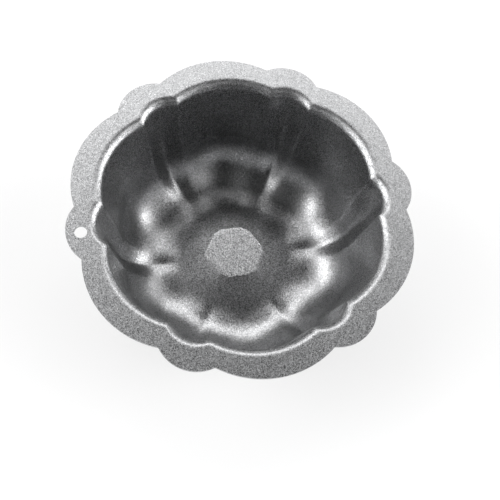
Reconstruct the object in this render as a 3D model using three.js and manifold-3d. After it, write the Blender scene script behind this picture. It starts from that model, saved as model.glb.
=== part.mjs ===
// Mini fluted tube pan, in millimetres, +Z up.
// One steel pressing with a coat on its cooking side and a coat on its outside.
// The origin is on the pan's axis, in the plane that the pan stands on.
import * as THREE from 'three';
import Module from 'manifold-3d';
import { mergeVertices } from 'three/addons/utils/BufferGeometryUtils.js';

// The sheet and its coats
const steelThickness = 0.7;
const innerCoatThickness = 0.05;
const outerCoatThickness = 0.05;

// The cavity, measured on the cooking face and down from the rim
const openingRadius = 48.3; // where the line of a flute's wall meets the rim plane
const cavityDepth = 41.8; // to the lowest ring of the floor
const floorRingRadius = 26; // radius of that lowest ring
const floorFilletRadius = 17; // wall to floor
const rimRollRadius = 3; // flange to wall
const bossRadius = 10.2; // closed flat top in the middle, to its corners
const bossHeight = 4.9; // of that top above the lowest ring

// The flutes: narrow and wide ones in turn, with a ridge between each two
const fluteCount = 6; // of each kind
const narrowFluteHalfAngle = THREE.MathUtils.degToRad(8.8); // from its middle to its ridges
const wallRidgeHeight = 2.3; // how far the ridges stand in from the wall
const floorRidgeHeight = 0.8; // how far they stand up at the lowest ring
const floorRidgeRun = 7.5; // how far they run on towards the boss as they fade
const narrowFluteRise = 0.35; // of the narrow flutes' floor over the wide flutes' floor
const valleyRound = 0.2; // how round the narrow flutes' valley is, as a share of their half width
const valleyRun = 0.15; // share of the way down in which the round rim turns into that valley

// The flange, cut to a lobe for each flute
const flangeWidth = 7.24; // flat width at the tip of a lobe
const notchDepth = 3.1; // from the tips in to the notches between lobes
const narrowLobeHalfAngle = THREE.MathUtils.degToRad(9.7);
const trimTurn = THREE.MathUtils.degToRad(2.8); // the cut lobes sit this far round from the flutes
const hangingHoleDiameter = 4.2;

// How finely the faces follow the curves
const narrowSteps = 6;
const wideSteps = 8;
const rollSteps = 2;
const wallSteps = 2;
const filletSteps = 4;
const holeSides = 24;

const steelLook = { color: 0xcbccce, roughness: 0.35, metalness: 1 };
const innerCoatLook = { color: 0x959697, roughness: 0.38, metalness: 1 };
const outerCoatLook = { color: 0x8b8c8d, roughness: 0.42, metalness: 1 };

const fluteAngle = 2 * Math.PI / fluteCount;
const sheetThickness = innerCoatThickness + steelThickness + outerCoatThickness;

function smooth(share) {
  const t = Math.min(Math.max(share, 0), 1);
  return t * t * (3 - 2 * t);
}

function pointOnArc(centre, radius, angle) {
  return new THREE.Vector2(centre.x + radius * Math.cos(angle), centre.y + radius * Math.sin(angle));
}

// Angle at which a line from a point outside a circle touches it, on the side that is asked for
function touchAngle(point, centre, radius, side) {
  const away = point.clone().sub(centre);
  return away.angle() + side * Math.acos(radius / away.length());
}

function signedAngle(angle) {
  return Math.atan2(Math.sin(angle), Math.cos(angle));
}

// Half section through the middle of a wide flute, x outward and y up from the rim plane
function sectionFrame() {
  const rim = new THREE.Vector2(openingRadius, 0);
  const bossEdge = new THREE.Vector2(bossRadius, bossHeight - cavityDepth);
  const centre = new THREE.Vector2(floorRingRadius, floorFilletRadius - cavityDepth);
  const wallAngle = signedAngle(touchAngle(rim, centre, floorFilletRadius, -1));
  const bossAngle = signedAngle(touchAngle(bossEdge, centre, floorFilletRadius, 1));
  const wallFoot = pointOnArc(centre, floorFilletRadius, wallAngle);
  const bossFoot = pointOnArc(centre, floorFilletRadius, bossAngle);
  const rollTurn = Math.PI / 2 + wallAngle;
  const rollRun = rimRollRadius * Math.tan(rollTurn / 2);
  const flatEdge = openingRadius + rollRun;
  const rollCentre = new THREE.Vector2(flatEdge, -rimRollRadius);
  const wallTop = pointOnArc(rollCentre, rimRollRadius, Math.PI / 2 + rollTurn);
  return { bossEdge, centre, wallAngle, wallFoot, bossFoot, rollTurn, rollCentre, flatEdge, wallTop };
}

const frame = sectionFrame();
const flangeReach = frame.flatEdge + flangeWidth;
const notchReach = flangeReach - notchDepth;
const ridgeEndRadius = floorRingRadius - floorRidgeRun;

// Share of the way from the rim to the lowest ring, down the wall and round the fillet
function wayDown(pathLength) {
  const wallLength = frame.wallTop.distanceTo(frame.wallFoot);
  const arcLength = floorFilletRadius * (Math.PI / 2 + frame.wallAngle);
  return pathLength / (wallLength + arcLength);
}

function ridgeHeightAt(radius) {
  if (radius > floorRingRadius) {
    const share = smooth((radius - floorRingRadius) / (frame.wallFoot.x - floorRingRadius));
    return floorRidgeHeight + (wallRidgeHeight - floorRidgeHeight) * share;
  }
  return floorRidgeHeight * smooth((radius - ridgeEndRadius) / floorRidgeRun);
}

// One row of the section: its place, the ridge's height and lean there, and how far down it is
function row(point, ridgeHeight, lean, way) {
  return { radius: point.x, height: point.y, ridgeHeight, lean, way };
}

function rollRows() {
  const rows = [];
  for (let step = 0; step <= rollSteps; step += 1) {
    const angle = Math.PI / 2 + frame.rollTurn * step / rollSteps;
    rows.push(row(pointOnArc(frame.rollCentre, rimRollRadius, angle), wallRidgeHeight, 0, 0));
  }
  return rows;
}

function wallRows() {
  const rows = [];
  for (let step = 1; step < wallSteps; step += 1) {
    const point = frame.wallTop.clone().lerp(frame.wallFoot, step / wallSteps);
    rows.push(row(point, wallRidgeHeight, 0, wayDown(point.distanceTo(frame.wallTop))));
  }
  return rows;
}

function filletRows() {
  const rows = [];
  const wallLength = frame.wallTop.distanceTo(frame.wallFoot);
  const sweep = Math.PI / 2 + frame.wallAngle;
  for (let step = 0; step <= filletSteps; step += 1) {
    const turned = sweep * step / filletSteps;
    const point = pointOnArc(frame.centre, floorFilletRadius, frame.wallAngle - turned);
    const lean = Math.PI / 2 * step / filletSteps;
    const way = wayDown(wallLength + floorFilletRadius * turned);
    rows.push(row(point, ridgeHeightAt(point.x), lean, way));
  }
  return rows;
}

// Rows from the flat flange's inner edge down to the boss
function sectionRows() {
  const upright = Math.PI / 2;
  const bossFoot = row(frame.bossFoot, ridgeHeightAt(frame.bossFoot.x), upright, 1);
  const bossEdge = row(frame.bossEdge, 0, upright, 1);
  return [...rollRows(), ...wallRows(), ...filletRows(), bossFoot, bossEdge];
}

// Columns round the pan: which flute, and how far from its middle (0) to its ridges (1)
function fluteColumns() {
  const columns = [];
  for (let flute = 0; flute < fluteCount; flute += 1) {
    for (let step = 0; step < narrowSteps; step += 1) {
      columns.push({ narrow: true, flute, offset: 2 * step / narrowSteps - 1 });
    }
    for (let step = 0; step < wideSteps; step += 1) {
      columns.push({ narrow: false, flute, offset: 2 * step / wideSteps - 1 });
    }
  }
  return columns;
}

function halfAngleOf(column, narrowHalf) {
  return column.narrow ? narrowHalf : fluteAngle / 2 - narrowHalf;
}

function columnAngle(column, narrowHalf) {
  const middle = (column.flute + (column.narrow ? 0 : 0.5)) * fluteAngle;
  return middle + column.offset * halfAngleOf(column, narrowHalf);
}

// Share of the ridge's height across a narrow flute, as a valley with a rounded middle
function valleyShare(x) {
  return (Math.hypot(x, valleyRound) - valleyRound) / (Math.hypot(1, valleyRound) - valleyRound);
}

// Share of the ridge's height across a flute: round troughs and crisp ridges at the rim,
// then valleys in the narrow flutes, and soft ridges on the floor
function ridgeShare(column, way) {
  const x = Math.abs(column.offset);
  const trough = x * x;
  if (!column.narrow) {
    const rolling = (1 - Math.cos(x * Math.PI)) / 2;
    return THREE.MathUtils.lerp(trough, rolling, smooth(way));
  }
  const valley = valleyShare(x);
  const rise = narrowFluteRise / floorRidgeHeight;
  const creased = rise + (1 - rise) * Math.sin(valley * Math.PI / 2);
  const wall = THREE.MathUtils.lerp(trough, valley, smooth(way / valleyRun));
  return THREE.MathUtils.lerp(wall, creased, smooth(way));
}

// The boss has a straight side for each flute
function bossSideShare(column) {
  const half = halfAngleOf(column, narrowFluteHalfAngle);
  return Math.cos(half) / Math.cos(half * column.offset);
}

// A lobe is a circle's arc through its tip and its two notches
function lobeReach(column) {
  const half = halfAngleOf(column, narrowLobeHalfAngle);
  const chordFall = flangeReach - notchReach * Math.cos(half);
  const centre = (flangeReach ** 2 - notchReach ** 2) / (2 * chordFall);
  const angle = half * column.offset;
  const across = centre * Math.sin(angle);
  return centre * Math.cos(angle) + Math.sqrt((flangeReach - centre) ** 2 - across ** 2);
}

function polarPoint(radius, angle, height) {
  return new THREE.Vector3(radius * Math.cos(angle), radius * Math.sin(angle), height);
}

function cavityPoint(sectionRow, column) {
  const ridge = sectionRow.ridgeHeight * ridgeShare(column, sectionRow.way);
  const sided = sectionRow.radius <= bossRadius ? bossSideShare(column) : 1;
  const radius = (sectionRow.radius - ridge * Math.cos(sectionRow.lean)) * sided;
  const angle = columnAngle(column, narrowFluteHalfAngle) - trimTurn;
  return polarPoint(radius, angle, sectionRow.height + ridge * Math.sin(sectionRow.lean));
}

function trimPoint(column) {
  return polarPoint(lobeReach(column), columnAngle(column, narrowLobeHalfAngle), 0);
}

// The cooking face as rows of points, from the flange's cut edge in to the boss
function cookingFace(columns) {
  const rows = [columns.map(trimPoint)];
  for (const sectionRow of sectionRows()) {
    rows.push(columns.map((column) => cavityPoint(sectionRow, column)));
  }
  return rows;
}

// Direction in which the sheet is thick at each point, away from the cooking face
function thicknessDirection(rows, rowIndex, columnIndex) {
  const down = new THREE.Vector3(0, 0, -1);
  const flatRows = 2;
  if (rowIndex < flatRows) {
    return down;
  }
  const count = rows[rowIndex].length;
  const last = rows.length - 1;
  const inner = rowIndex < last ? rows[rowIndex + 1][columnIndex] : new THREE.Vector3(0, 0, rows[last][0].z);
  const along = inner.clone().sub(rows[rowIndex - 1][columnIndex]);
  const next = rows[rowIndex][(columnIndex + 1) % count];
  const round = next.clone().sub(rows[rowIndex][(columnIndex + count - 1) % count]);
  const direction = along.cross(round).normalize();
  return rowIndex < last ? direction : direction.divideScalar(-direction.z);
}

function offsetFace(rows, depth) {
  return rows.map((points, rowIndex) => points.map((point, columnIndex) => {
    const direction = thicknessDirection(rows, rowIndex, columnIndex);
    return point.clone().addScaledVector(direction, depth);
  }));
}

// Corner numbers of a face's triangles, seen from the cooking side
function faceTriangles(rowCount, columnCount, first) {
  const triangles = [];
  const middle = first + rowCount * columnCount;
  for (let column = 0; column < columnCount; column += 1) {
    const next = (column + 1) % columnCount;
    for (let level = 0; level < rowCount - 1; level += 1) {
      const outer = first + level * columnCount;
      const inner = outer + columnCount;
      triangles.push([outer + column, outer + next, inner + next]);
      triangles.push([outer + column, inner + next, inner + column]);
    }
    const edge = first + (rowCount - 1) * columnCount;
    triangles.push([edge + column, edge + next, middle]);
  }
  return triangles;
}

function facePoints(rows) {
  const middle = new THREE.Vector3(0, 0, rows[rows.length - 1][0].z);
  return [...rows.flat(), middle];
}

// A closed layer of the sheet between two faces
function layerGeometry(upper, lower) {
  const columnCount = upper[0].length;
  const points = [...facePoints(upper), ...facePoints(lower)];
  const second = points.length / 2;
  const top = faceTriangles(upper.length, columnCount, 0);
  const bottom = faceTriangles(lower.length, columnCount, second).map(([a, b, c]) => [a, c, b]);
  const edge = [];
  for (let column = 0; column < columnCount; column += 1) {
    const next = (column + 1) % columnCount;
    edge.push([column, second + next, next], [column, second + column, second + next]);
  }
  const geometry = new THREE.BufferGeometry().setFromPoints(points);
  geometry.setIndex([...top, ...bottom, ...edge].flat());
  return geometry;
}

const wasm = await Module();
wasm.setup();

function solidFrom(geometry) {
  const bare = geometry.clone();
  bare.deleteAttribute('normal');
  bare.deleteAttribute('uv');
  const merged = mergeVertices(bare);
  const vertProperties = new Float32Array(merged.attributes.position.array);
  const triVerts = new Uint32Array(merged.index.array);
  return new wasm.Manifold(new wasm.Mesh({ numProp: 3, vertProperties, triVerts }));
}

function geometryFrom(solid) {
  const mesh = solid.getMesh();
  const geometry = new THREE.BufferGeometry();
  geometry.setAttribute('position', new THREE.BufferAttribute(mesh.vertProperties, 3));
  geometry.setIndex(new THREE.BufferAttribute(mesh.triVerts, 1));
  geometry.computeVertexNormals();
  return geometry;
}

// Drill through the flange for the hanging hole, half way between the opening and the lobe's tip
function hangingHoleDrill() {
  const drillLength = 4 * sheetThickness; // well clear of both faces
  const radius = hangingHoleDiameter / 2;
  const drill = new THREE.CylinderGeometry(radius, radius, drillLength, holeSides);
  drill.rotateX(Math.PI / 2);
  drill.translate(-(openingRadius + flangeReach) / 2, 0, 0);
  return solidFrom(drill);
}

function layerMesh(name, upper, lower, drill, look) {
  const drilled = solidFrom(layerGeometry(upper, lower)).subtract(drill);
  const mesh = new THREE.Mesh(geometryFrom(drilled), new THREE.MeshStandardMaterial(look));
  mesh.name = name;
  return mesh;
}

function buildPan() {
  const face = cookingFace(fluteColumns());
  const steelTop = offsetFace(face, innerCoatThickness);
  const steelUnder = offsetFace(face, innerCoatThickness + steelThickness);
  const outside = offsetFace(face, sheetThickness);
  const drill = hangingHoleDrill();
  const pan = new THREE.Group();
  pan.name = 'mini_fluted_tube_pan';
  pan.add(layerMesh('steel_pressing', steelTop, steelUnder, drill, steelLook));
  pan.add(layerMesh('inner_nonstick_coat', face, steelTop, drill, innerCoatLook));
  pan.add(layerMesh('outer_coat', steelUnder, outside, drill, outerCoatLook));
  pan.position.z = -Math.min(...outside.flat().map((point) => point.z));
  return pan;
}

const pan = buildPan();
export default pan;
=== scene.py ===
import math

import bpy
import numpy as np
from mathutils import Matrix, Vector


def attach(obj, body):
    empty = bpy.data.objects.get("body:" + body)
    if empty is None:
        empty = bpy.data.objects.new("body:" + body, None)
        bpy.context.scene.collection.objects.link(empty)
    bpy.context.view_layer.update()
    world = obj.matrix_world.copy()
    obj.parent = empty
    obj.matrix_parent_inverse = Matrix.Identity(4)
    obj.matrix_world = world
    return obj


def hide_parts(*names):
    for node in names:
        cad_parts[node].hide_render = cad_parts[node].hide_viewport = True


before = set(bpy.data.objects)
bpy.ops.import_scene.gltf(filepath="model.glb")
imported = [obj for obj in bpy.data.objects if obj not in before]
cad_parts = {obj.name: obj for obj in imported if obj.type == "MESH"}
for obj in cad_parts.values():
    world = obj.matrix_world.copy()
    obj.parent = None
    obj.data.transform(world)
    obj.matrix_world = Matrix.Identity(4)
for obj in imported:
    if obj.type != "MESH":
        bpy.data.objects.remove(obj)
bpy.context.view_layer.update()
mm = 0.001
bpy.context.scene.view_settings.view_transform = "Standard"

# the drawn cup, in mm, on the cooking face and from the rim plane down
cup = {
    "openingRadius": 48.3,
    "depth": 41.8,
    "ringRadius": 26.0,  # lowest ring of the floor
    "filletRadius": 17.0,
    "rollRadius": 3.0,
    "bossRadius": 10.2,  # to the corners of the boss
    "bossHeight": 4.9,
    "bossRound": 1.0,
    "bossSidesRun": 4.0,  # how far the boss's flat sides run out on to the cone
}

# narrow and wide flutes in turn, with a ridge between each two, in mm
flutes = {
    "count": 6,
    "narrowHalf": math.radians(8.8),
    "wallRidge": 2.3,
    "floorRidge": 0.8,
    "floorRun": 7.5,
    "narrowRise": 0.35,
    "valleyRound": 0.2,  # of the narrow flutes' half width
    "valleyRun": 0.15,  # of the way down, from the round rim to a valley
}

# the flat flange, in mm, cut to a lobe for each flute
flange = {
    "width": 7.24,
    "notchDepth": 3.1,
    "narrowHalf": math.radians(9.7),
    "turn": math.radians(2.8),  # the lobes sit this far round from the flutes
    "holeRadius": 2.1,
    "holeMargin": 0.5,  # clear ring that is remeshed round the hole
}

sheet = {"insideCoat": 0.05, "steel": 0.7, "outsideCoat": 0.05}  # mm, from the cooking face out

# steps of the mesh, round each flute and along each stretch of the section
grid = {
    "narrowSteps": 18,
    "wideSteps": 42,
    "flange": 16,
    "roll": 10,
    "wall": 18,
    "fillet": 22,
    "ring": 8,
    "cone": 12,
    "bossEdge": 3,
    "bossTop": 5,
}


def smooth(share):
    t = np.clip(share, 0.0, 1.0)
    return t * t * (3 - 2 * t)


def onArc(centre, radius, angle):
    return np.array([centre[0] + radius * math.cos(angle), centre[1] + radius * math.sin(angle)])


def sectionLine():
    # half section through the middle of a wide flute: place, lean of the ridge, share of the way down
    rim = np.array([cup["openingRadius"], 0.0])
    boss = np.array([cup["bossRadius"], cup["bossHeight"] - cup["depth"]])
    centre = np.array([cup["ringRadius"], cup["filletRadius"] - cup["depth"]])
    toRim = rim - centre
    toBoss = boss - centre
    wallAngle = math.atan2(toRim[1], toRim[0]) - math.acos(cup["filletRadius"] / np.linalg.norm(toRim))
    bossAngle = math.atan2(toBoss[1], toBoss[0]) + math.acos(cup["filletRadius"] / np.linalg.norm(toBoss))
    bossAngle = bossAngle - 2 * math.pi if bossAngle > 0 else bossAngle
    rollTurn = math.pi / 2 + wallAngle
    flatEdge = cup["openingRadius"] + cup["rollRadius"] * math.tan(rollTurn / 2)
    rollCentre = (flatEdge, -cup["rollRadius"])
    wallTop = onArc(rollCentre, cup["rollRadius"], math.pi / 2 + rollTurn)
    wallFoot = onArc(centre, cup["filletRadius"], wallAngle)
    bossFoot = onArc(centre, cup["filletRadius"], bossAngle)
    wallLength = np.linalg.norm(wallFoot - wallTop)
    sweep = math.pi / 2 + wallAngle
    path = wallLength + cup["filletRadius"] * sweep
    points, leans, ways = [], [], []

    def add(point, lean, way):
        points.append(point)
        leans.append(lean)
        ways.append(way)

    for k in range(grid["roll"] + 1):
        add(onArc(rollCentre, cup["rollRadius"], math.pi / 2 + rollTurn * k / grid["roll"]), 0.0, 0.0)
    for k in range(1, grid["wall"]):
        share = k / grid["wall"]
        add(wallTop + (wallFoot - wallTop) * share, 0.0, wallLength * share / path)
    for k in range(grid["fillet"] + 1):
        share = k / grid["fillet"]
        way = (wallLength + cup["filletRadius"] * sweep * share) / path
        add(onArc(centre, cup["filletRadius"], wallAngle - sweep * share), math.pi / 2 * share, way)
    for k in range(1, grid["ring"] + 1):
        angle = -math.pi / 2 + (bossAngle + math.pi / 2) * k / grid["ring"]
        add(onArc(centre, cup["filletRadius"], angle), math.pi / 2, 1.0)
    slope = math.atan2(boss[1] - bossFoot[1], bossFoot[0] - boss[0])
    run = cup["bossRound"] * math.tan(slope / 2)
    coneEnd = boss + run * np.array([math.cos(slope), -math.sin(slope)])
    for k in range(1, grid["cone"]):
        add(bossFoot + (coneEnd - bossFoot) * k / grid["cone"], math.pi / 2, 1.0)
    roundCentre = (boss[0] - run, boss[1] - cup["bossRound"])
    for k in range(grid["bossEdge"] + 1):
        angle = math.pi / 2 - slope * (1 - k / grid["bossEdge"])
        add(onArc(roundCentre, cup["bossRound"], angle), math.pi / 2, 1.0)
    for k in range(1, grid["bossTop"]):
        add(np.array([(boss[0] - run) * (1 - k / grid["bossTop"]), boss[1]]), math.pi / 2, 1.0)
    return points, leans, ways, flatEdge, wallFoot[0]


def fluteColumns():
    # round the pan: middle of the flute in flute steps, offset from it (-1 to 1), and which kind
    middle, offset, narrow = [], [], []
    for k in range(flutes["count"]):
        for step in range(grid["narrowSteps"]):
            middle.append(k)
            offset.append(2 * step / grid["narrowSteps"] - 1)
            narrow.append(True)
        for step in range(grid["wideSteps"]):
            middle.append(k + 0.5)
            offset.append(2 * step / grid["wideSteps"] - 1)
            narrow.append(False)
    return np.array(middle), np.array(offset), np.array(narrow)


fluteAngle = 2 * math.pi / flutes["count"]
middle, offset, narrow = fluteColumns()
columnCount = len(middle)


def halfAngles(narrowHalf):
    return np.where(narrow, narrowHalf, fluteAngle / 2 - narrowHalf)


def polar(radius, angle, height):
    radius, angle, height = np.broadcast_arrays(radius, angle, height)
    return np.stack([radius * np.cos(angle), radius * np.sin(angle), height], axis=-1)


def ridgeShare(way):
    # round troughs and crisp ridges at the rim, valleys in the narrow flutes, soft ridges on the floor
    x = np.abs(offset)
    trough = x * x
    rolling = (1 - np.cos(x * math.pi)) / 2
    bend = flutes["valleyRound"]
    valley = (np.hypot(x, bend) - bend) / (math.hypot(1, bend) - bend)
    rise = flutes["narrowRise"] / flutes["floorRidge"]
    creased = rise + (1 - rise) * np.sin(valley * math.pi / 2)
    wall = trough + (valley - trough) * smooth(way / flutes["valleyRun"])
    return np.where(narrow, wall + (creased - wall) * smooth(way), trough + (rolling - trough) * smooth(way))


def cookingFace():
    points, leans, ways, flatEdge, footRadius = sectionLine()
    half = halfAngles(flutes["narrowHalf"])
    angle = middle * fluteAngle + offset * half - flange["turn"]
    sided = np.cos(half) / np.cos(half * offset)
    rows = []
    for (radius, height), lean, way in zip(points, leans, ways):
        if radius > cup["ringRadius"]:
            deep = smooth((radius - cup["ringRadius"]) / (footRadius - cup["ringRadius"]))
            ridge = flutes["floorRidge"] + (flutes["wallRidge"] - flutes["floorRidge"]) * deep
        else:
            fade = (radius - cup["ringRadius"] + flutes["floorRun"]) / flutes["floorRun"]
            ridge = flutes["floorRidge"] * smooth(fade)
        if lean == 0.0:
            ridge = flutes["wallRidge"]
        lift = ridge * ridgeShare(way)
        flat = 1 - smooth((radius - cup["bossRadius"]) / cup["bossSidesRun"])
        reach = (radius - lift * math.cos(lean)) * (1 + (sided - 1) * flat)
        rows.append(polar(reach, angle, height + lift * math.sin(lean)))
    tip = flatEdge + flange["width"]
    notch = tip - flange["notchDepth"]
    half = halfAngles(flange["narrowHalf"])
    centre = (tip ** 2 - notch ** 2) / (2 * (tip - notch * np.cos(half)))
    turned = half * offset
    reach = centre * np.cos(turned) + np.sqrt((tip - centre) ** 2 - (centre * np.sin(turned)) ** 2)
    trim = polar(reach, middle * fluteAngle + turned, 0.0)
    flat = [trim + (rows[0] - trim) * k / grid["flange"] for k in range(grid["flange"])]
    hole = np.array([-(cup["openingRadius"] + tip) / 2, 0.0])
    return np.array(flat + rows), hole


def offsetFace(face, depth):
    # the same face, moved away from the cooking side by its own normals; the flange stays level
    if depth == 0:
        return face
    along = np.gradient(face, axis=0)
    around = np.roll(face, -1, axis=1) - np.roll(face, 1, axis=1)
    away = np.cross(along, around)
    away /= np.linalg.norm(away, axis=2, keepdims=True)
    level = grid["flange"] + 1
    away[:level] = (0.0, 0.0, -1.0)
    top = len(face) - grid["bossTop"] + 1
    away[top:] = (0.0, 0.0, -1.0)
    return face + away * depth


face, holeCentre = cookingFace()
rowCount = len(face)
print("cooking face", face.shape, "lowest", face[..., 2].min())


def holeQuads():
    # quads that make way for the hanging hole, and the loop of grid points left round it
    reach = np.hypot(face[..., 0] - holeCentre[0], face[..., 1] - holeCentre[1])
    near = reach < flange["holeRadius"] + flange["holeMargin"]
    cut = set()
    for r in range(grid["flange"]):
        for c in range(columnCount):
            n = (c + 1) % columnCount
            if near[r, c] or near[r, n] or near[r + 1, c] or near[r + 1, n]:
                cut.add((r, c))
    edges = set()
    for r, c in cut:
        n = (c + 1) % columnCount
        ring = [(r, c), (r, n), (r + 1, n), (r + 1, c)]
        for a, b in zip(ring, ring[1:] + ring[:1]):
            edges.add((a, b))
    follow = {a: b for a, b in edges if (b, a) not in edges}
    start = min(follow)
    loop = [start]
    while follow[loop[-1]] != start:
        loop.append(follow[loop[-1]])
    return cut, loop


cutQuads, holeLoop = holeQuads()


def sideFaces(first):
    # quads of one side of a layer, seen from the cooking side, with its hole ring after the grid points
    faces = []
    for r in range(rowCount - 1):
        for c in range(columnCount):
            if (r, c) in cutQuads:
                continue
            n = (c + 1) % columnCount
            a, b = first + r * columnCount, first + (r + 1) * columnCount
            faces.append((a + c, a + n, b + n, b + c))
    last = first + (rowCount - 1) * columnCount
    middlePoint = first + rowCount * columnCount
    for c in range(columnCount):
        faces.append((last + c, last + (c + 1) % columnCount, middlePoint))
    ring = middlePoint + 1
    count = len(holeLoop)
    for k in range(count):
        n = (k + 1) % count
        a = first + holeLoop[k][0] * columnCount + holeLoop[k][1]
        b = first + holeLoop[n][0] * columnCount + holeLoop[n][1]
        faces.append((a, b, ring + n, ring + k))
    return faces


def sidePoints(points):
    # the grid points, the middle of the boss and the ring of the hole
    centre = np.array([[0.0, 0.0, points[-1, 0, 2]]])
    around = np.array([points[r, c] for r, c in holeLoop])
    away = around[:, :2] - holeCentre
    away /= np.linalg.norm(away, axis=1, keepdims=True)
    ring = np.column_stack([holeCentre + away * flange["holeRadius"], around[:, 2]])
    return np.concatenate([points.reshape(-1, 3), centre, ring])


def layer(name, depthTop, depthUnder, crease):
    # a closed layer of the sheet, between two depths below the cooking face
    upper = sidePoints(offsetFace(face, depthTop))
    lower = sidePoints(offsetFace(face, depthUnder))
    second = len(upper)
    faces = sideFaces(0) + [tuple(reversed(f)) for f in sideFaces(second)]
    for c in range(columnCount):
        n = (c + 1) % columnCount
        faces.append((c, second + c, second + n, n))
    ring = rowCount * columnCount + 1
    count = len(holeLoop)
    for k in range(count):
        n = ring + (k + 1) % count
        faces.append((ring + k, n, second + n, second + ring + k))
    points = np.concatenate([upper, lower])
    points[:, 2] += rimHeight
    mesh = bpy.data.meshes.new(name)
    mesh.from_pydata((points * mm).tolist(), [], faces)
    mesh.validate()
    mesh.shade_smooth()
    mesh.set_sharp_from_angle(angle=crease)
    piece = bpy.data.objects.new(name, mesh)
    bpy.context.collection.objects.link(piece)
    print(name, len(points), "points", len(faces), "faces")
    return piece


depths = np.cumsum([0.0, sheet["insideCoat"], sheet["steel"], sheet["outsideCoat"]])
rimHeight = -offsetFace(face, depths[3])[..., 2].min()


class Wire:
    # one output socket, with arithmetic that adds Math nodes
    def __init__(self, tree, socket):
        self.tree = tree
        self.socket = socket

    def maths(self, operation, first, second):
        return addNode(self.tree, "ShaderNodeMath", {"operation": operation}, {0: first, 1: second})

    def __add__(self, other):
        return self.maths("ADD", self, other)

    def __sub__(self, other):
        return self.maths("SUBTRACT", self, other)

    def __mul__(self, other):
        return self.maths("MULTIPLY", self, other)

    def __rsub__(self, other):
        return self.maths("SUBTRACT", other, self)

    def __rpow__(self, other):
        return self.maths("POWER", other, self)

    __radd__ = __add__
    __rmul__ = __mul__


def addNode(tree, kind, settings, inputs, output=0):
    node = tree.nodes.new(kind)
    for key, value in settings.items():
        setattr(node, key, value)
    for key, value in inputs.items():
        if isinstance(value, Wire):
            tree.links.new(value.socket, node.inputs[key])
        else:
            node.inputs[key].default_value = value
    return Wire(tree, node.outputs[output]) if node.outputs else node


def newMaterial(name):
    material = bpy.data.materials.new(name)
    material.use_nodes = True
    material.node_tree.nodes.clear()
    return material, material.node_tree


def mixColour(tree, share, first, second):
    settings = {"data_type": "RGBA", "blend_type": "MIX"}
    inputs = {0: share, 6: first, 7: second}  # a Mix node's colours are its sockets 6 and 7
    return addNode(tree, "ShaderNodeMix", settings, inputs, 2)


def vectorMaths(tree, operation, first, second, output="Vector"):
    inputs = {0: first, 1: second}
    return addNode(tree, "ShaderNodeVectorMath", {"operation": operation}, inputs, output)


def noise(tree, place, size, detail):
    inputs = {"Vector": place, "Scale": 1 / (size * mm), "Detail": detail}
    return addNode(tree, "ShaderNodeTexNoise", {}, inputs)


def ramp(tree, value, start, end):
    # 0 at start, 1 at end, and level beyond them
    inputs = {"Value": value, "From Min": start, "From Max": end}
    return addNode(tree, "ShaderNodeMapRange", {}, inputs)


def coatMaterial(name, look):
    # metal flakes in a satin coat: each small cell has its own tilt, grey and gloss
    material, tree = newMaterial(name)
    place = addNode(tree, "ShaderNodeTexCoord", {}, {}, "Object")
    cells = {"Vector": place, "Scale": 1 / (look["flakeSize"] * mm)}
    flake = addNode(tree, "ShaderNodeTexVoronoi", {}, cells, "Color")
    chance = addNode(tree, "ShaderNodeTexWhiteNoise", {}, {"Vector": flake})
    chance = ramp(tree, chance, look["plainShare"], 1 - look["plainShare"])
    mottle = noise(tree, place, look["mottleSize"], look["mottleDetail"])

    # zones of the pressing, from the middle out and from the base up
    across = vectorMaths(tree, "MULTIPLY", place, (1.0, 1.0, 0.0))
    reach = vectorMaths(tree, "LENGTH", across, (0.0,) * 3, "Value")
    height = addNode(tree, "ShaderNodeSeparateXYZ", {}, {"Vector": place}, "Z")
    bossTop = rimHeight - cup["depth"] + cup["bossHeight"]
    rollTop = rimHeight - look["pressedFrom"]
    inner = ramp(tree, reach, look["coneFrom"] * mm, look["coneTo"] * mm)
    crown = ramp(tree, height, (bossTop - look["crownRun"]) * mm, bossTop * mm)
    cone = inner * (1 - crown)
    boss = inner * crown
    drawn = ramp(tree, height, look["wallFrom"] * mm, look["wallTo"] * mm)
    roll = ramp(tree, height, (rimHeight - look["rollHeight"]) * mm, rollTop * mm)
    pressed = ramp(tree, height, rollTop * mm, rimHeight * mm)
    bent = ramp(tree, reach, look["bentFrom"] * mm, look["bentTo"] * mm) * (1 - drawn)

    contrast = 1 - pressed * (1 - look["flangeContrast"]) - bent * (1 - look["bentContrast"])
    spots = (chance - 0.5) * (1 - look["mottleShare"]) + (mottle - 0.5) * look["mottleShare"]
    # painted shade darkens the cone and painted light lightens the boss's flat top, on top of the flakes'
    # grey
    shade = spots * contrast + cone * look["paintedConeShade"] + boss * look["paintedCrownLight"] + 0.5
    colour = mixColour(tree, shade, look["dark"], look["light"])
    gloss = look["roughness"] + cone * (look["coneRoughness"] - look["roughness"])
    gloss = gloss + drawn * (look["wallRoughness"] - look["roughness"])
    gloss = gloss + roll * (look["rollRoughness"] - look["wallRoughness"])
    gloss = gloss + pressed * (look["flangeRoughness"] - look["rollRoughness"])
    chosen = addNode(tree, "ShaderNodeSeparateXYZ", {}, {"Vector": flake}, "X")
    spread = look["roughnessSpread"] + bent * (look["bentSpread"] - look["roughnessSpread"])
    rough = gloss + (chosen - 0.5) * spread
    tilt = look["flakeTilt"] + pressed * (look["flangeTilt"] - look["flakeTilt"])
    tilt = tilt + bent * (look["bentTilt"] - look["flakeTilt"])
    lean = vectorMaths(tree, "MULTIPLY", vectorMaths(tree, "SUBTRACT", flake, (0.5,) * 3), tilt)
    square = addNode(tree, "ShaderNodeNewGeometry", {}, {}, "Normal")
    normal = vectorMaths(tree, "NORMALIZE", vectorMaths(tree, "ADD", square, lean), (0.0,) * 3)
    shader = addNode(tree, "ShaderNodeBsdfPrincipled", {}, {
        "Base Color": colour, "Metallic": 1.0, "Roughness": rough, "Normal": normal,
    })
    addNode(tree, "ShaderNodeOutputMaterial", {}, {"Surface": shader})
    return material


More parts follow.
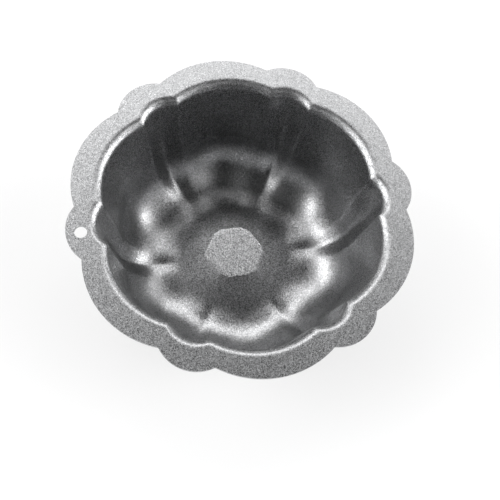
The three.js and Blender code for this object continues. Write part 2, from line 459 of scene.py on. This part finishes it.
def edgeMaterial(name, look):
    # a sheared edge: a burnished band at the top, torn metal below it, and fine lines through the sheet
    material, tree = newMaterial(name)
    place = addNode(tree, "ShaderNodeTexCoord", {}, {}, "Object")
    drawn = vectorMaths(tree, "MULTIPLY", place, (1.0, 1.0, 1 / look["lineStretch"]))
    lines = noise(tree, drawn, look["lineSize"], look["lineDetail"])
    height = addNode(tree, "ShaderNodeSeparateXYZ", {}, {"Vector": place}, "Z")
    bandFoot = rimHeight - sheet["insideCoat"] - look["burnished"]
    torn = addNode(tree, "ShaderNodeMapRange", {"interpolation_type": "SMOOTHSTEP"}, {
        "Value": height, "From Min": (bandFoot - look["blend"]) * mm, "From Max": bandFoot * mm,
        "To Min": 1.0, "To Max": 0.0,
    })
    shade = torn * (1 - look["lineShare"]) + lines * look["lineShare"]
    colour = mixColour(tree, shade, look["bright"], look["torn"])
    rough = look["roughness"] + shade * look["roughnessSpread"]
    normal = addNode(tree, "ShaderNodeBump", {}, {"Height": lines, "Distance": look["lineDepth"] * mm})
    shader = addNode(tree, "ShaderNodeBsdfPrincipled", {}, {
        "Base Color": colour, "Metallic": 1.0, "Roughness": rough, "Normal": normal,
    })
    addNode(tree, "ShaderNodeOutputMaterial", {}, {"Surface": shader})
    return material


def finishPiece(piece, material, node, slot):
    piece.data.materials.append(material)
    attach(piece, "root")
    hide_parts(node)
    print(piece.name, "finished as", slot)


crisp = math.radians(40)  # edges over this angle stay sharp

insideLook = {
    "dark": (0.065, 0.066, 0.068, 1.0),
    "light": (0.49, 0.492, 0.498, 1.0),
    "roughness": 0.34,
    "wallRoughness": 0.29,  # drawn smooth by the press
    "wallFrom": 12.0,  # mm above the base
    "wallTo": 22.0,
    "rollRoughness": 0.52,  # stretched over the press's edge
    "rollHeight": 3.0,  # mm below the rim
    "flangeRoughness": 0.3,  # pressed flat
    "coneRoughness": 0.5,  # hardly touched by the press
    "coneFrom": 26.0,  # mm from the axis, fading in towards it
    "coneTo": 14.0,
    # painted shade: the cone round the boss is painted darker
    "paintedConeShade": -0.06,
    "crownRun": 0.3,  # mm below the boss's top, which is pressed flat too
    # painted light: the boss's flat top is painted lighter
    "paintedCrownLight": 0.1,
    "roughnessSpread": 0.27,  # from flake to flake
    "flakeSize": 0.2,  # mm
    "flakeTilt": 0.12,
    "flangeTilt": 0.15,
    "plainShare": 0.15,  # of the flakes are quite dark, and as many quite light
    "flangeContrast": 0.25,
    "bentContrast": 0.5,  # in the bend between floor and wall
    "bentTilt": 0.15,
    "bentSpread": 0.2,
    "bentFrom": 23.0,  # mm from the axis
    "bentTo": 30.0,
    "pressedFrom": 0.6,  # mm below the rim
    "mottleSize": 9.0,  # mm
    "mottleDetail": 3.0,
    "mottleShare": 0.15,
}
insideCoat = layer("insideCoat", depths[0], depths[1], crisp)
finishPiece(insideCoat, coatMaterial("insideCoat", insideLook), "inner_nonstick_coat", "nonstick_coat")

steelLook = {
    "bright": (0.64, 0.645, 0.655, 1.0),
    "torn": (0.42, 0.423, 0.43, 1.0),
    "roughness": 0.28,
    "roughnessSpread": 0.22,
    "burnished": 0.28,  # mm, height of the band
    "blend": 0.12,  # mm
    "lineSize": 0.16,  # mm
    "lineDetail": 2.0,
    "lineStretch": 9.0,
    "lineShare": 0.45,
    "lineDepth": 0.02,  # mm
}
steelSheet = layer("steelSheet", depths[1], depths[2], crisp)
finishPiece(steelSheet, edgeMaterial("steelEdge", steelLook), "steel_pressing", "bare_steel")

outsideLook = {
    "dark": (0.14, 0.141, 0.144, 1.0),
    "light": (0.34, 0.342, 0.348, 1.0),
    "roughness": 0.38,
    "wallRoughness": 0.36,
    "wallFrom": 12.0,  # mm above the base
    "wallTo": 22.0,
    "rollRoughness": 0.4,
    "rollHeight": 3.0,  # mm below the rim
    "flangeRoughness": 0.36,
    "coneRoughness": 0.45,
    "coneFrom": 26.0,  # mm from the axis
    "coneTo": 14.0,
    "paintedConeShade": 0.0,
    "crownRun": 0.3,  # mm
    "paintedCrownLight": 0.0,
    "roughnessSpread": 0.2,
    "flakeSize": 0.22,  # mm
    "flakeTilt": 0.12,
    "flangeTilt": 0.1,
    "plainShare": 0.18,
    "flangeContrast": 0.7,
    "bentContrast": 1.0,
    "bentTilt": 0.12,
    "bentSpread": 0.2,
    "bentFrom": 22.0,  # mm from the axis
    "bentTo": 30.0,
    "pressedFrom": 1.6,  # mm below the rim
    "mottleSize": 14.0,  # mm
    "mottleDetail": 3.0,
    "mottleShare": 0.25,
}
outsideCoat = layer("outsideCoat", depths[2], depths[3], crisp)
finishPiece(outsideCoat, coatMaterial("outsideCoat", outsideLook), "outer_coat", "outside_coat")

# camera fitted to the flange's outline and the boss
view = {
    "azimuth": -23.447,  # degrees
    "elevation": 66.23,
    "roll": 12.909,
    "distance": 295.34,  # mm
    "target": (-0.741, -15.052),  # mm, on the plane of the rim
    "focalPixels": 915.2,
    "imagePixels": 500,
    "sensor": 36.0,  # mm
    "nearest": 0.01,  # m
}


def placeCamera():
    az, el, roll = (math.radians(view[k]) for k in ("azimuth", "elevation", "roll"))
    back = Vector((math.sin(az) * math.cos(el), -math.cos(az) * math.cos(el), math.sin(el)))
    right = Vector((0, 0, 1)).cross(back).normalized()
    up = back.cross(right)
    across = right * math.cos(roll) + up * math.sin(roll)
    above = up * math.cos(roll) - right * math.sin(roll)
    place = (Vector((*view["target"], rimHeight)) + back * view["distance"]) * mm
    data = bpy.data.cameras.new("camera")
    data.sensor_width = view["sensor"]
    data.lens = data.sensor_width * view["focalPixels"] / view["imagePixels"]
    data.clip_start = view["nearest"]
    camera = bpy.data.objects.new("camera", data)
    camera.matrix_world = Matrix.LocRotScale(place, Matrix((across, above, back)).transposed(), None)
    bpy.context.collection.objects.link(camera)
    bpy.context.scene.camera = camera


placeCamera()
print("camera placed")

studio = {
    "floorHalf": 3.0,  # m
    "floorGrey": 0.73,
    "floorLift": 0.6,  # share of plain white in what the camera sees of the floor
    # soft round boxes: azimuth and elevation in degrees, sharpness, level
    "boxes": [
        (162.4, 21.7, 11.6, 11.35),  # left
        (351.0, 16.1, 13.7, 14.45),  # right
        (58.9, 43.4, 25.8, 4.75),  # the two behind
        (100.9, 45.3, 28.8, 5.3),
        (258.4, 62.6, 45.0, 0.18),  # high in front
    ],
}


def seenPlain(tree):
    # 1 for rays from the camera, for reflections and for what is seen through something clear
    seen = addNode(tree, "ShaderNodeLightPath", {}, {}, "Is Camera Ray")
    rays = seen.socket.node.outputs
    for kind in ("Is Glossy Ray", "Is Transmission Ray"):
        seen = seen.maths("MAXIMUM", seen, Wire(tree, rays[kind]))
    return seen


def placeFloor():
    half = studio["floorHalf"]
    mesh = bpy.data.meshes.new("floor")
    corners = [(-half, -half, 0), (half, -half, 0), (half, half, 0), (-half, half, 0)]
    mesh.from_pydata(corners, [], [(0, 1, 2, 3)])
    floor = bpy.data.objects.new("floor", mesh)
    bpy.context.collection.objects.link(floor)
    material, tree = newMaterial("floor")
    grey = (studio["floorGrey"],) * 3 + (1.0,)
    matte = addNode(tree, "ShaderNodeBsdfDiffuse", {}, {"Color": grey})
    plain = addNode(tree, "ShaderNodeEmission", {}, {"Color": (1, 1, 1, 1), "Strength": 1.0})
    share = seenPlain(tree) * studio["floorLift"]
    shader = addNode(tree, "ShaderNodeMixShader", {}, {0: share, 1: matte, 2: plain})
    addNode(tree, "ShaderNodeOutputMaterial", {}, {"Surface": shader})
    mesh.materials.append(material)


placeFloor()
print("floor laid")


def placeWorld():
    world = bpy.data.worlds.new("studio")
    bpy.context.scene.world = world
    world.use_nodes = True
    tree = world.node_tree
    tree.nodes.clear()
    ray = addNode(tree, "ShaderNodeTexCoord", {}, {}, "Generated")
    light = 0.0
    for azimuth, elevation, sharpness, level in studio["boxes"]:
        az, el = math.radians(azimuth), math.radians(elevation)
        aim = (math.cos(az) * math.cos(el), math.sin(az) * math.cos(el), math.sin(el))
        facing = vectorMaths(tree, "DOT_PRODUCT", ray, aim, "Value")
        light = math.e ** ((facing - 1) * sharpness) * level + light
    seen = addNode(tree, "ShaderNodeLightPath", {}, {}, "Is Camera Ray")
    light = light + (1 - light) * seen
    background = addNode(tree, "ShaderNodeBackground", {}, {"Color": (1, 1, 1, 1), "Strength": light})
    addNode(tree, "ShaderNodeOutputWorld", {}, {"Surface": background})


placeWorld()
print("studio lit")
